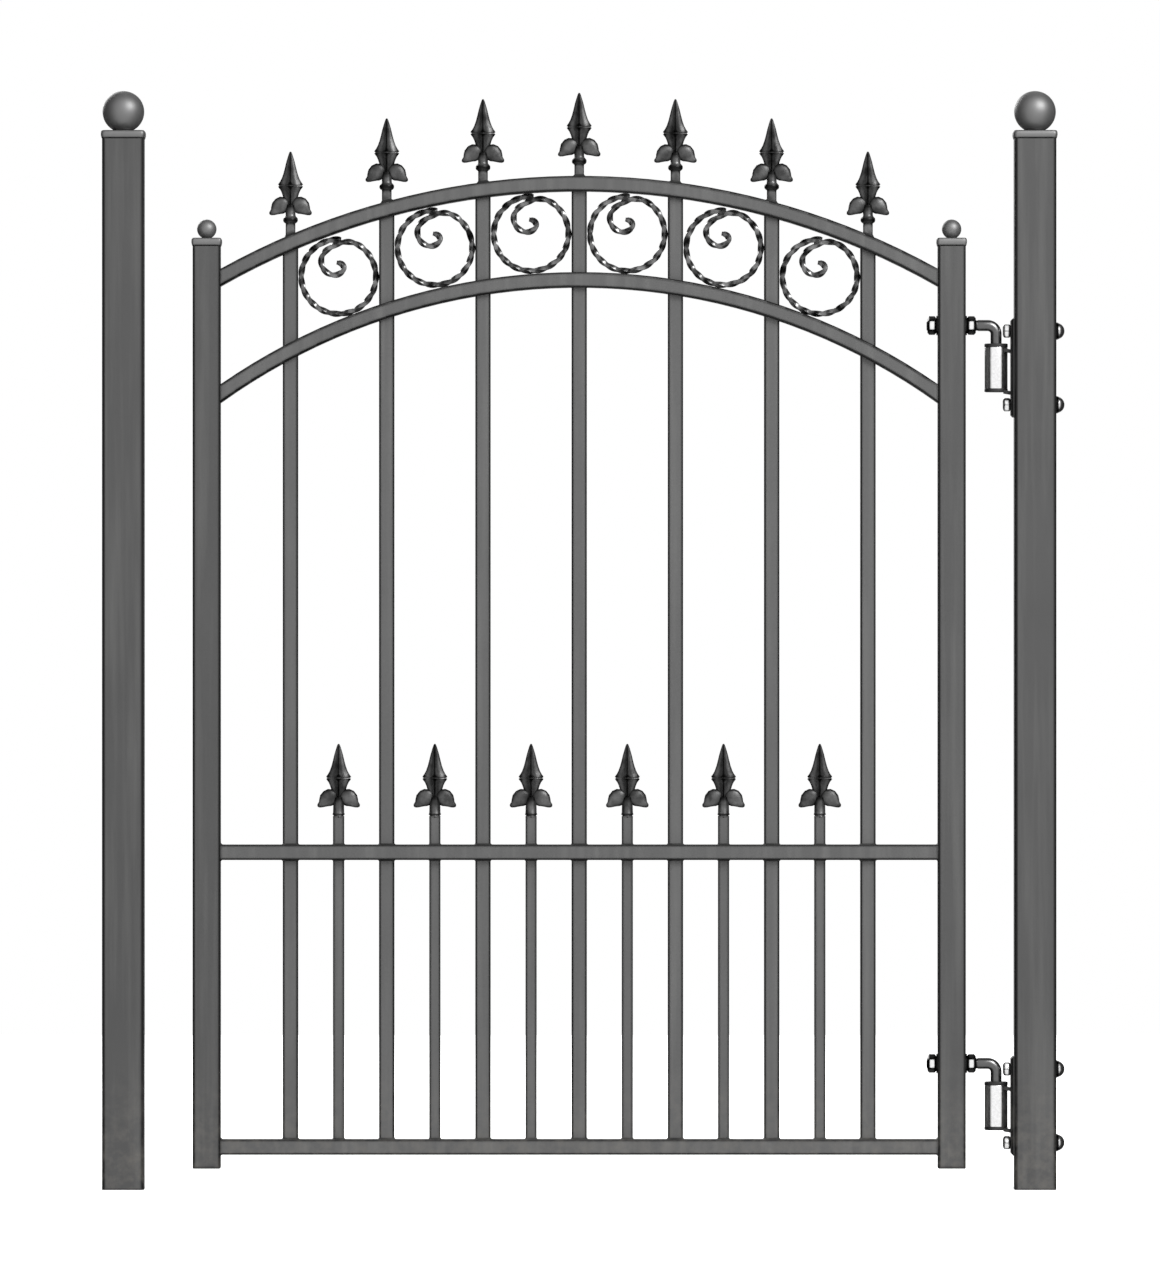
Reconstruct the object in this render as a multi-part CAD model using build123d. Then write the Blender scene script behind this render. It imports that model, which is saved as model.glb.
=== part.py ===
from build123d import *
from math import cos, hypot, radians, sin, sqrt
import os

# Garden gate: an arched picket leaf hung on two J-bolt hinges between two square posts.
# Millimetres, +Z up. The origin is on the ground, midway between the posts, in the leaf's mid-plane.
# +X runs from the latch post to the hinge post, and +Y runs through the gateway.

# ---- driving dimensions -------------------------------------------------------------------------
TOUCH = 0.05  # gap left between pieces that are welded or screwed together
SLIP = 0.1  # gap left each side of a bar in its punched hole

POST_SIZE = 60.0
POST_WALL = 2.5
POST_CORNER = 5.0
POST_PITCH = 1312.0  # centre to centre
POST_CAP_TOP = 1523.5

STILE_SIZE = 40.0
STILE_WALL = 2.0
STILE_CORNER = 4.0
STILE_PITCH = 1072.0
STILE_FOOT = 32.0  # clearance under the leaf
STILE_CAP_TOP = 1369.0

CAP_SHEET = 1.6
CAP_SKIRT = 12.0
CAP_EDGE = 1.4  # rounding of the pressed sheet's top edge
POST_BALL = 60.0
STILE_BALL = 28.0
BALL_SHELL = 2.0
BALL_RISE = 0.9  # height of the ball's centre over its cap, as a share of its radius
BALL_NECK = 0.48  # radius where it is welded on, as a share of the ball's
BALL_COLLAR = 0.12

FOOT_PLUG_FLANGE = 2.0
FOOT_PLUG_SPIGOT = 14.0
FOOT_PLUG_WALL = 2.0

RAIL_HEIGHT = 22.0
RAIL_DEPTH = 40.0
RAIL_WALL = 1.5
RAIL_CORNER = 3.0
BOTTOM_RAIL_Z = 61.0
MID_RAIL_Z = 485.0
TOP_ARCH_RADIUS = 1063.0  # to the rail's upper face
TOP_ARCH_APEX = 1458.0
LOWER_ARCH_RADIUS = 906.0

TALL_COUNT = 7
TALL_SIZE = 22.0
TALL_WALL = 1.5
TALL_CORNER = 3.0
PICKET_PITCH = 138.5
SHORT_SIZE = 16.0
SHORT_WALL = 1.2
SHORT_CORNER = 2.0
SHORT_TOP = 537.0

SPEAR_HEIGHT = 104.0  # from the collar's foot to the tip
SPEAR_ABOVE_RAIL = 120.0  # from the top rail to the tip
SPEAR_TIP = 1.4
SHANK_SIZE = 14.0
SHANK_CORNER = 2.0

SCROLL_BAR = 8.6  # across the twisted bar
SCROLL_START_DEG = 90.0  # where the bar's outer end lies on the ring
SCROLL_RING_DEG = 326.0  # how far the ring runs before the bar turns in
CURL_BENDS = ((32.0, 56.0), (80.0, 14.0), (20.0, 129.0), (16.0, 60.0), (7.5, 125.0))  # radius, turn
CURL_TAIL = 4.0

HINGE_AXIS_X = 600.0
HINGE_CENTRES = {"upper": 1182.0, "lower": 120.0}
J_BOLT_SIZE = 16.0
J_BOLT_BEND = 12.0
J_BOLT_RISE = 61.0  # from the hinge's centre up to the bolt's threaded leg
J_BOLT_END_X = 500.0
J_BOLT_HOLE = 17.0
J_NUT_FLATS = 24.0
J_NUT_HEIGHT = 12.8
J_WASHER_SIZE = 28.0
J_WASHER_THICK = 2.0
J_BOLT_CHAMFER = 1.5
EDGE = 1.0  # chamfer on small turned and moulded pieces

BARREL_SIZE = 33.7
BARREL_BORE = 22.0
BARREL_LENGTH = 70.0  # over its end flanges
BARREL_FLANGE = 5.0
BUSH_BORE = 16.16
BUSH_LENGTH = 47.0
PLUG_SPIGOT = 6.0
DISC_SIZE = 21.2
DISC_THICK = 3.0

BRACKET_THICK = 5.0
BRACKET_WIDTH = 50.0
BRACKET_HEIGHT = 142.0
LUG_WIDTH = 26.0
LUG_THICK = 5.0
LUG_DROP = 4.0  # how far a lug falls from the barrel to the plate
LUG_INSET = 5.0  # from the barrel's end

POST_BOLT_SIZE = 12.0
POST_BOLT_HOLE = 13.0
POST_BOLT_PITCH = 106.0
POST_BOLT_HEAD = 24.0
POST_BOLT_HEAD_HEIGHT = 10.0
POST_WASHER_SIZE = 25.0
POST_WASHER_THICK = 2.5
POST_NUT_FLATS = 19.0
POST_NUT_HEIGHT = 10.8
BOLT_PROUD = 0.5  # thread left showing past a nut

# ---- places worked out from them ----------------------------------------------------------------
POST_X = POST_PITCH / 2
POST_TOP = POST_CAP_TOP - CAP_SHEET
STILE_X = STILE_PITCH / 2
STILE_TOP = STILE_CAP_TOP - CAP_SHEET
RAIL_END = STILE_X - STILE_SIZE / 2
RAIL_TOP = BOTTOM_RAIL_Z + RAIL_HEIGHT / 2
TALL_X = [(i - (TALL_COUNT - 1) / 2) * PICKET_PITCH for i in range(TALL_COUNT)]
SHORT_X = [x + PICKET_PITCH / 2 for x in TALL_X[:-1]]
RING_RADIUS = (PICKET_PITCH - TALL_SIZE) / 2 - TOUCH  # outside the scroll's bar
TOP_ARCH_CENTRE = TOP_ARCH_APEX - TOP_ARCH_RADIUS
TOP_ARCH_INNER = TOP_ARCH_RADIUS - RAIL_HEIGHT
HINGE_FACE_X = POST_X - POST_SIZE / 2  # the hinge post's face on the leaf's side
PLATE_X = HINGE_FACE_X - BRACKET_THICK


def scroll_height(arch_centre, reach, x):
    """The height of a ring's centre at x when it is reach away from an arch's centre."""
    return arch_centre + sqrt(reach**2 - x**2)


# The lower arch sits where the rings beside the middle picket fill the space between the rails.
MIDDLE_RING_Z = scroll_height(TOP_ARCH_CENTRE, TOP_ARCH_INNER - RING_RADIUS - TOUCH, SHORT_X[3])
LOWER_ARCH_CENTRE = MIDDLE_RING_Z - sqrt((LOWER_ARCH_RADIUS + RING_RADIUS + TOUCH) ** 2 - SHORT_X[3] ** 2)


# ---- shapes that repeat -------------------------------------------------------------------------
def bar(width, depth, length, corner):
    return extrude(RectangleRounded(width, depth, corner), amount=length)


def tube(width, depth, length, wall, corner):
    """A rectangular tube that stands on the XY plane."""
    bore = bar(width - 2 * wall, depth - 2 * wall, length, max(corner - wall, 0.4))
    return bar(width, depth, length, corner) - bore


def along_x(shape):
    """Lays a shape that stands on the XY plane along +X."""
    return Rot(0, 90, 0) * shape


def ring(outer, inner, length):
    return extrude(Circle(outer / 2) - Circle(inner / 2), amount=length)


def round_bar_x(size, x_from, x_to, z):
    return Pos(x_from, 0, z) * along_x(extrude(Circle(size / 2), amount=x_to - x_from))


def arch_disc(radius, centre):
    """A disc wide enough to trim what meets an arch of that radius."""
    return Pos(0, 0, centre) * Rot(90, 0, 0) * Cylinder(radius, 3 * RAIL_DEPTH)


def hex_nut(flats, height, bore):
    """A nut on the XY plane, with its corners turned off at both ends."""
    corners = flats / cos(radians(30))
    blank = extrude(RegularPolygon(flats / 2, 6, major_radius=False), amount=height)
    turned = Pos(0, 0, height / 2) * Cylinder(corners / 2, height)
    turned = chamfer(turned.edges(), 0.09 * height, 0.1 * flats)
    return (blank & turned) - Cylinder(bore / 2, 3 * height)


# ---- posts, stiles and their caps ---------------------------------------------------------------
def post(x, bolt_heights):
    shape = Pos(x, 0, 0) * tube(POST_SIZE, POST_SIZE, POST_TOP, POST_WALL, POST_CORNER)
    for z in bolt_heights:
        shape -= round_bar_x(POST_BOLT_HOLE, x - POST_SIZE, x + POST_SIZE, z)
    return shape


def stile(x, bolt_heights):
    length = STILE_TOP - STILE_FOOT
    shape = Pos(x, 0, STILE_FOOT) * tube(STILE_SIZE, STILE_SIZE, length, STILE_WALL, STILE_CORNER)
    for z in bolt_heights:
        shape -= round_bar_x(J_BOLT_HOLE, x - STILE_SIZE, x + STILE_SIZE, z)
    return shape


def ball_cap(x, top, tube_size, tube_corner, ball_size):
    """A pressed cap that slips over a tube, and the hollow ball welded on it: two solids."""
    inside = tube_size + 2 * SLIP
    outside = inside + 2 * CAP_SHEET
    corner = tube_corner + SLIP
    shell = bar(outside, outside, CAP_SKIRT, corner + CAP_SHEET)
    shell = fillet(shell.edges().group_by(Axis.Z)[-1], CAP_EDGE)
    shell -= bar(inside, inside, CAP_SKIRT - CAP_SHEET, corner)
    radius = ball_size / 2
    neck = BALL_NECK * radius
    globe = Pos(0, 0, BALL_RISE * radius) * (Sphere(radius) - Sphere(radius - BALL_SHELL))
    collar = extrude(Circle(neck), amount=BALL_COLLAR * radius)
    opening = Cylinder(neck - BALL_SHELL, radius)
    above = Pos(0, 0, ball_size) * Box(2 * ball_size, 2 * ball_size, 2 * ball_size)
    globe = (globe + collar - opening) & above
    return Compound([Pos(x, 0, top - CAP_SKIRT) * shell.solid(), Pos(x, 0, top) * globe.solid()])


def foot_plug(x):
    """The insert that closes a stile's foot."""
    inside = STILE_SIZE - 2 * STILE_WALL - 2 * SLIP
    flange = bar(STILE_SIZE, STILE_SIZE, FOOT_PLUG_FLANGE, STILE_CORNER)
    flange = chamfer(flange.edges().group_by(Axis.Z)[0], EDGE)
    spigot = tube(inside, inside, FOOT_PLUG_SPIGOT, FOOT_PLUG_WALL, STILE_CORNER - STILE_WALL)
    return Pos(x, 0, STILE_FOOT - FOOT_PLUG_FLANGE) * (flange + Pos(0, 0, FOOT_PLUG_FLANGE) * spigot)


# ---- rails and pickets --------------------------------------------------------------------------
def straight_rail(z, holes):
    """A rail between the stiles, punched for (x, size, corner) bars."""
    length = 2 * RAIL_END
    shape = along_x(tube(RAIL_HEIGHT, RAIL_DEPTH, length, RAIL_WALL, RAIL_CORNER))
    shape = Pos(-RAIL_END, 0, z) * shape
    for x, size, corner in holes:
        punch = bar(size + 2 * SLIP, size + 2 * SLIP, 2 * RAIL_HEIGHT, corner)
        shape -= Pos(x, 0, z - RAIL_HEIGHT) * punch
    return shape


def arched_rail(outer_radius, centre):
    """A rail rolled to an arc and cut to fit between the stiles."""
    half_turn = 45.0
    middle = outer_radius - RAIL_HEIGHT / 2
    outside = RectangleRounded(RAIL_DEPTH, RAIL_HEIGHT, RAIL_CORNER)
    inside = RectangleRounded(RAIL_DEPTH - 2 * RAIL_WALL, RAIL_HEIGHT - 2 * RAIL_WALL, RAIL_CORNER - RAIL_WALL)
    section = Plane.YZ * Pos(0, middle, 0) * (outside - inside)
    shape = Rot(0, -half_turn, 0) * revolve(section, Axis.Y, revolution_arc=2 * half_turn)
    return (Pos(0, 0, centre) * shape) & Box(2 * RAIL_END, 2 * RAIL_DEPTH, 4 * outer_radius)


def lower_arched_rail():
    shape = arched_rail(LOWER_ARCH_RADIUS, LOWER_ARCH_CENTRE)
    for x in TALL_X:
        punch = bar(TALL_SIZE + 2 * SLIP, TALL_SIZE + 2 * SLIP, TOP_ARCH_APEX, TALL_CORNER)
        shape -= Pos(x, 0, 0) * punch
    return shape


def tall_picket(x):
    """Stands on the bottom rail and is cut to the underside of the top arch."""
    blank = tube(TALL_SIZE, TALL_SIZE, TOP_ARCH_APEX, TALL_WALL, TALL_CORNER)
    return (Pos(x, 0, RAIL_TOP) * blank) & arch_disc(TOP_ARCH_INNER, TOP_ARCH_CENTRE)


def short_picket(x):
    return Pos(x, 0, RAIL_TOP) * tube(SHORT_SIZE, SHORT_SIZE, SHORT_TOP - RAIL_TOP, SHORT_WALL, SHORT_CORNER)


# ---- cast spearheads ----------------------------------------------------------------------------
# Height above the collar's foot, half width and half depth of the four-sided blade.
BLADE_SECTIONS = (
    (16.0, 7.5, 7.5),
    (44.0, 12.0, 9.5),
    (53.5, 17.6, 12.0),
    (56.5, 17.6, 12.0),
    (67.0, 12.0, 9.0),
    (88.5, 6.2, 5.0),
    (103.0, 1.6, 1.6),
)
LEAF_THICK = 7.0
LEAF_TOP_EDGE = ((6.0, 43.5), (17.0, 40.5), (22.5, 32.0), (24.5, 25.5), (29.5, 18.0))
LEAF_FOOT_EDGE = ((29.5, 18.0), (22.5, 12.0), (13.0, 16.0), (4.0, 15.0))
# Height and radius of the collar that the casting stands on.
TALL_COLLAR = ((0.0, 7.6), (4.5, 10.6), (9.0, 10.6), (20.0, 7.0))
SHORT_COLLAR = ((0.0, 8.2), (20.0, 7.8))


def diamond(height, half_width, half_depth):
    corners = ((half_width, 0), (0, half_depth), (-half_width, 0), (0, -half_depth))
    return Pos(0, 0, height) * Polygon(*corners, align=None)


def spearhead(collar_sections, shank_length):
    """A cast spearhead that stands on its collar at z = 0, with a shank below it."""
    blade = loft([diamond(*section) for section in BLADE_SECTIONS], ruled=True)
    tip = Pos(0, 0, SPEAR_HEIGHT - SPEAR_TIP) * Sphere(SPEAR_TIP)
    outline = Spline(*LEAF_TOP_EDGE) + Spline(*LEAF_FOOT_EDGE) + Line(LEAF_FOOT_EDGE[-1], LEAF_TOP_EDGE[0])
    leaf = extrude(Plane.XZ * make_face(outline), amount=LEAF_THICK / 2, both=True)
    collar = loft([Pos(0, 0, z) * Circle(r) for z, r in collar_sections], ruled=True)
    shape = blade + tip + leaf + mirror(leaf, Plane.YZ) + collar
    if shank_length:
        shape += Pos(0, 0, -shank_length) * bar(SHANK_SIZE, SHANK_SIZE, shank_length + EDGE, SHANK_CORNER)
    return shape


def tall_spear(x):
    """A spearhead whose shank is cut to the top of the arched rail."""
    rail_top = scroll_height(TOP_ARCH_CENTRE, TOP_ARCH_RADIUS, x)
    foot = rail_top + SPEAR_ABOVE_RAIL - SPEAR_HEIGHT
    shape = Pos(x, 0, foot) * spearhead(TALL_COLLAR, 2 * (foot - rail_top))
    return shape - arch_disc(TOP_ARCH_RADIUS + TOUCH, TOP_ARCH_CENTRE)


def short_spear(x):
    return Pos(x, 0, SHORT_TOP) * spearhead(SHORT_COLLAR, 0)


# ---- scrolls ------------------------------------------------------------------------------------
def bent_bar(place, heading, bends, tail, size):
    """A round bar through arcs of (radius, turn to the left), starting at place on the XZ plane."""
    x, z = place
    edges = []
    for radius, turn in bends:
        side = radians(heading + 90)
        cx, cz = x + radius * cos(side), z + radius * sin(side)
        points = []
        for part in (0, turn / 2, turn):
            angle = radians(heading - 90 + part)
            points.append(Vector(cx + radius * cos(angle), 0, cz + radius * sin(angle)))
        edges.append(ThreePointArc(*points))
        x, z, heading = points[-1].X, points[-1].Z, heading + turn
    if tail:
        end = (x + tail * cos(radians(heading)), 0, z + tail * sin(radians(heading)))
        edges.append(Line((x, 0, z), end))
    path = Wire(edges)
    section = Plane(origin=path @ 0, z_dir=path % 0) * Circle(size / 2)
    return sweep(section, path=path)


def scroll(x):
    """A bar rolled to a ring between two pickets, its inner end curled and its outer end lapped and welded."""
    middle = RING_RADIUS - SCROLL_BAR / 2
    start, turned_in = radians(SCROLL_START_DEG), radians(SCROLL_START_DEG + SCROLL_RING_DEG)
    ring_from = (middle * cos(start), middle * sin(start))
    curl_from = (middle * cos(turned_in), middle * sin(turned_in))
    hoop = bent_bar(ring_from, SCROLL_START_DEG + 90, ((middle, SCROLL_RING_DEG),), 0, SCROLL_BAR)
    curl_heading = SCROLL_START_DEG + SCROLL_RING_DEG + 90
    curl = bent_bar(curl_from, curl_heading, CURL_BENDS, CURL_TAIL, SCROLL_BAR)
    z = scroll_height(LOWER_ARCH_CENTRE, LOWER_ARCH_RADIUS + RING_RADIUS + TOUCH, x)
    return Pos(x, 0, z) * (hoop + curl)


# ---- hinges -------------------------------------------------------------------------------------
def on_axis(z, shape):
    """Puts a shape on the hinge axis, with its origin at that height."""
    return Pos(HINGE_AXIS_X, 0, z) * shape


def bracket(centre):
    """The plate bolted to the post, with two lugs that are cut to fit the barrel."""
    plate = Box(BRACKET_THICK, BRACKET_WIDTH, BRACKET_HEIGHT)
    ends = plate.faces().sort_by(Axis.X)[0].edges()
    plate = chamfer(ends, 0.6 * BRACKET_THICK)
    shape = Pos(PLATE_X + BRACKET_THICK / 2, 0, centre) * plate
    near, far = HINGE_AXIS_X, PLATE_X + BRACKET_THICK / 2
    reach = BARREL_LENGTH / 2 - LUG_INSET
    for z in (centre + reach, centre - reach):
        corners = ((near, z), (far, z - LUG_DROP), (far, z - LUG_DROP - LUG_THICK), (near, z - LUG_THICK))
        lug = extrude(Plane.XZ * Polygon(*corners, align=None), amount=LUG_WIDTH / 2, both=True)
        shape += lug
    shape -= on_axis(centre, Cylinder(BARREL_SIZE / 2 + TOUCH, 2 * BARREL_LENGTH))
    for side in (-1, 1):
        height = centre + side * POST_BOLT_PITCH / 2
        shape -= round_bar_x(POST_BOLT_HOLE, PLATE_X - EDGE, HINGE_FACE_X + EDGE, height)
    return shape


def barrel(centre):
    length = BARREL_LENGTH - 2 * BARREL_FLANGE
    return on_axis(centre - length / 2, ring(BARREL_SIZE, BARREL_BORE, length))


def bush(centre):
    """The flanged sleeve that the J-bolt turns in."""
    top = centre + BARREL_LENGTH / 2
    flange = ring(BARREL_SIZE, BUSH_BORE, BARREL_FLANGE - TOUCH)
    flange = chamfer(flange.edges().group_by(Axis.Z)[-1].sort_by(SortBy.RADIUS)[-1], EDGE)
    sleeve = ring(BARREL_BORE - 2 * TOUCH, BUSH_BORE, BUSH_LENGTH)
    lap = EDGE  # the sleeve runs this far up into the flange
    return on_axis(top - BARREL_FLANGE + TOUCH, flange) + on_axis(top - BARREL_FLANGE - BUSH_LENGTH + lap, sleeve)


def plug(centre):
    """The welded end of the barrel, which carries the leaf's weight."""
    foot = centre - BARREL_LENGTH / 2
    flange = extrude(Circle(BARREL_SIZE / 2), amount=BARREL_FLANGE - TOUCH)
    flange = chamfer(flange.edges().group_by(Axis.Z)[0], EDGE)
    spigot = extrude(Circle(BARREL_BORE / 2 - TOUCH), amount=BARREL_FLANGE + PLUG_SPIGOT)
    return on_axis(foot, flange + spigot)


def thrust_disc(centre):
    z = centre - BARREL_LENGTH / 2 + BARREL_FLANGE + PLUG_SPIGOT
    return on_axis(z, extrude(Circle(DISC_SIZE / 2), amount=DISC_THICK))


def j_bolt(centre):
    """Threaded leg through the stile, a bend, and the plain leg that drops into the barrel."""
    z = centre + J_BOLT_RISE
    foot = centre - BARREL_LENGTH / 2 + BARREL_FLANGE + PLUG_SPIGOT + DISC_THICK
    bend_x = HINGE_AXIS_X - J_BOLT_BEND
    bend_z = z - J_BOLT_BEND
    diagonal = J_BOLT_BEND * cos(radians(45))
    path = Wire(
        [
            Line((J_BOLT_END_X, 0, z), (bend_x, 0, z)),
            ThreePointArc((bend_x, 0, z), (bend_x + diagonal, 0, bend_z + diagonal), (HINGE_AXIS_X, 0, bend_z)),
            Line((HINGE_AXIS_X, 0, bend_z), (HINGE_AXIS_X, 0, foot)),
        ]
    )
    section = Plane(origin=path @ 0, z_dir=path % 0) * Circle(J_BOLT_SIZE / 2)
    shape = sweep(section, path=path)
    ends = shape.faces().filter_by(GeomType.PLANE)
    return chamfer(ends.edges(), J_BOLT_CHAMFER)


def j_bolt_nuts():
    """A nut each side of the stile on both J-bolts."""
    solids = []
    for centre in HINGE_CENTRES.values():
        z = centre + J_BOLT_RISE
        inner = STILE_X - STILE_SIZE / 2 - J_WASHER_THICK - J_NUT_HEIGHT
        outer = STILE_X + STILE_SIZE / 2 + J_WASHER_THICK
        for x in (inner, outer):
            nut = Rot(0, 0, 30) * hex_nut(J_NUT_FLATS, J_NUT_HEIGHT, J_BOLT_SIZE + 2 * TOUCH)
            solids.append(Pos(x, 0, z) * along_x(nut).solid())
    return Compound(solids)


def j_bolt_washers():
    solids = []
    for centre in HINGE_CENTRES.values():
        z = centre + J_BOLT_RISE
        for x in (STILE_X - STILE_SIZE / 2 - J_WASHER_THICK, STILE_X + STILE_SIZE / 2):
            washer = ring(J_WASHER_SIZE, J_BOLT_HOLE, J_WASHER_THICK)
            solids.append(Pos(x, 0, z) * along_x(washer).solid())
    return Compound(solids)


# ---- bolts through the hinge post ---------------------------------------------------------------
def post_bolt_heights():
    return [c + side * POST_BOLT_PITCH / 2 for c in HINGE_CENTRES.values() for side in (-1, 1)]


def post_bolts():
    """Dome-headed bolts whose heads are on the post's far side."""
    under_head = POST_X + POST_SIZE / 2 + POST_WASHER_THICK
    end = PLATE_X - POST_NUT_HEIGHT - BOLT_PROUD
    half = POST_BOLT_HEAD / 2
    dome_radius = (half**2 + POST_BOLT_HEAD_HEIGHT**2) / (2 * POST_BOLT_HEAD_HEIGHT)
    keep = Pos(0, 0, POST_BOLT_HEAD) * Box(3 * half, 3 * half, 2 * POST_BOLT_HEAD)
    dome = (Pos(0, 0, POST_BOLT_HEAD_HEIGHT - dome_radius) * Sphere(dome_radius)) & keep
    solids = []
    for z in post_bolt_heights():
        head = Pos(under_head, 0, z) * along_x(dome)
        shank = round_bar_x(POST_BOLT_SIZE, end, under_head + EDGE, z)
        shank = chamfer(shank.faces().sort_by(Axis.X)[0].edges(), EDGE)
        solids.append((head + shank).solid())
    return Compound(solids)


def post_bolt_nuts():
    nut = along_x(hex_nut(POST_NUT_FLATS, POST_NUT_HEIGHT, POST_BOLT_SIZE + 2 * TOUCH))
    return Compound([Pos(PLATE_X - POST_NUT_HEIGHT, 0, z) * nut.solid() for z in post_bolt_heights()])


def post_bolt_washers():
    washer = along_x(ring(POST_WASHER_SIZE, POST_BOLT_HOLE, POST_WASHER_THICK))
    return Compound([Pos(POST_X + POST_SIZE / 2, 0, z) * washer.solid() for z in post_bolt_heights()])


# ---- the whole gate -----------------------------------------------------------------------------
def leaf_pieces():
    j_bolt_heights = [c + J_BOLT_RISE for c in HINGE_CENTRES.values()]
    tall_holes = [(x, TALL_SIZE, TALL_CORNER) for x in TALL_X]
    short_holes = [(x, SHORT_SIZE, SHORT_CORNER) for x in SHORT_X]
    pieces = {
        "latch_stile": stile(-STILE_X, []),
        "hinge_stile": stile(STILE_X, j_bolt_heights),
        "latch_stile_cap": ball_cap(-STILE_X, STILE_CAP_TOP, STILE_SIZE, STILE_CORNER, STILE_BALL),
        "hinge_stile_cap": ball_cap(STILE_X, STILE_CAP_TOP, STILE_SIZE, STILE_CORNER, STILE_BALL),
        "stile_foot_plugs": Compound([foot_plug(x).solid() for x in (-STILE_X, STILE_X)]),
        "top_arch_rail": arched_rail(TOP_ARCH_RADIUS, TOP_ARCH_CENTRE),
        "lower_arch_rail": lower_arched_rail(),
        "mid_rail": straight_rail(MID_RAIL_Z, tall_holes + short_holes),
        "bottom_rail": straight_rail(BOTTOM_RAIL_Z, []),
        "j_bolt_nuts": j_bolt_nuts(),
        "j_bolt_washers": j_bolt_washers(),
    }
    for i, x in enumerate(TALL_X, start=1):
        pieces[f"tall_picket_{i}"] = tall_picket(x)
        pieces[f"tall_spear_{i}"] = tall_spear(x)
    for i, x in enumerate(SHORT_X, start=1):
        pieces[f"short_picket_{i}"] = short_picket(x)
        pieces[f"short_spear_{i}"] = short_spear(x)
        pieces[f"scroll_{i}"] = scroll(x)
    for name, centre in HINGE_CENTRES.items():
        pieces[f"{name}_j_bolt"] = j_bolt(centre)
    return pieces


def post_pieces():
    pieces = {
        "latch_post": post(-POST_X, []),
        "hinge_post": post(POST_X, post_bolt_heights()),
        "latch_post_cap": ball_cap(-POST_X, POST_CAP_TOP, POST_SIZE, POST_CORNER, POST_BALL),
        "hinge_post_cap": ball_cap(POST_X, POST_CAP_TOP, POST_SIZE, POST_CORNER, POST_BALL),
        "hinge_barrel_plugs": Compound([plug(c).solid() for c in HINGE_CENTRES.values()]),
        "post_bolts": post_bolts(),
        "post_bolt_nuts": post_bolt_nuts(),
        "post_bolt_washers": post_bolt_washers(),
    }
    for name, centre in HINGE_CENTRES.items():
        pieces[f"{name}_hinge_bracket"] = bracket(centre)
        pieces[f"{name}_hinge_barrel"] = barrel(centre)
        pieces[f"{name}_hinge_bush"] = bush(centre)
    return pieces


def bearing_pieces():
    return {"hinge_thrust_discs": Compound([thrust_disc(c).solid() for c in HINGE_CENTRES.values()])}


def main():
    os.makedirs("parts", exist_ok=True)
    for pieces in (post_pieces(), bearing_pieces(), leaf_pieces()):
        for name, shape in pieces.items():
            export_step(shape, f"parts/{name}.step")


main()
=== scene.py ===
import math
import random

import bmesh
import bpy
from mathutils import Matrix, Vector


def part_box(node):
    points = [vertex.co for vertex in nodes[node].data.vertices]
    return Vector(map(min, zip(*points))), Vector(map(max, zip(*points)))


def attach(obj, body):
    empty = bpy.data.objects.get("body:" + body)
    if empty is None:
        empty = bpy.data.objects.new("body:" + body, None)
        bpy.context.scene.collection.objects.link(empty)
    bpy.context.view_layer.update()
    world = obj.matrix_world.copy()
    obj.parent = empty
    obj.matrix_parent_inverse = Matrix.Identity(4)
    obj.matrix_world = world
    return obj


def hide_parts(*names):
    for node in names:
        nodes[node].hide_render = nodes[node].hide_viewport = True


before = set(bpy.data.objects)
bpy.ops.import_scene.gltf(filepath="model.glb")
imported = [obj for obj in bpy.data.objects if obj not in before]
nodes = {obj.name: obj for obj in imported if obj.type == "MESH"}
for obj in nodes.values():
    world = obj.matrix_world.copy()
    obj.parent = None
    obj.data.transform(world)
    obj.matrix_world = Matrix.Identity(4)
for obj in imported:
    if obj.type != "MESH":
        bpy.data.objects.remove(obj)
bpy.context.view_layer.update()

# The gate's looks. Shapes are drawn in millimetres in the gate's own frame and scaled to metres when a
# piece is finished: +X latch post to hinge post, +Y through the gateway, +Z up. The front faces -Y.
MM = 0.001
TALL_COUNT = 7
SHORT_COUNT = 6
FLUTE = 0.82  # share of its reach that a spearhead's side keeps, halfway between two ridges
WHITE = (1.0, 1.0, 1.0, 1.0)


# ---- working with outlines and shells -----------------------------------------------------------
def node_box(node):
    """A node's lowest and highest corners in millimetres."""
    low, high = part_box(node)
    return low / MM, high / MM


def across_box(node):
    """A node's middle and half width along X."""
    low, high = node_box(node)
    return (low.x + high.x) / 2, (high.x - low.x) / 2


def grey(level):
    return (level, level, level, 1.0)


def frame_at(x, y, z, lean=0.0, turn=0.0, wide=1.0, deep=1.0):
    """A placed frame: turned about its own Z, leaned about Y, and set at a point. Degrees."""
    return (
        Matrix.Translation((x, y, z))
        @ Matrix.Rotation(math.radians(lean), 4, "Y")
        @ Matrix.Rotation(math.radians(turn), 4, "Z")
        @ Matrix.Diagonal((wide, deep, 1.0, 1.0))
    )


def soften(bm, verts, size, steps):
    """Rounds the corners of an outline or a profile."""
    bmesh.ops.bevel(
        bm,
        geom=verts,
        offset=size,
        offset_type="OFFSET",
        segments=steps,
        profile=0.5,
        affect="VERTICES",
        material=-1,
    )


def square_outline(corner=0.25, steps=3, cuts=0):
    """Draws a square of half width 1 with rounded corners, and cuts along its flats."""

    def draw(bm):
        placed = Matrix.Rotation(math.radians(45), 4, "Z")
        bmesh.ops.create_circle(bm, segments=4, radius=math.sqrt(2), cap_ends=False, matrix=placed)
        soften(bm, list(bm.verts), corner, steps)
        if cuts:
            flats = [e for e in bm.edges if e.calc_length() > 0.9]
            bmesh.ops.subdivide_edges(bm, edges=flats, cuts=cuts)

    return draw


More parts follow.
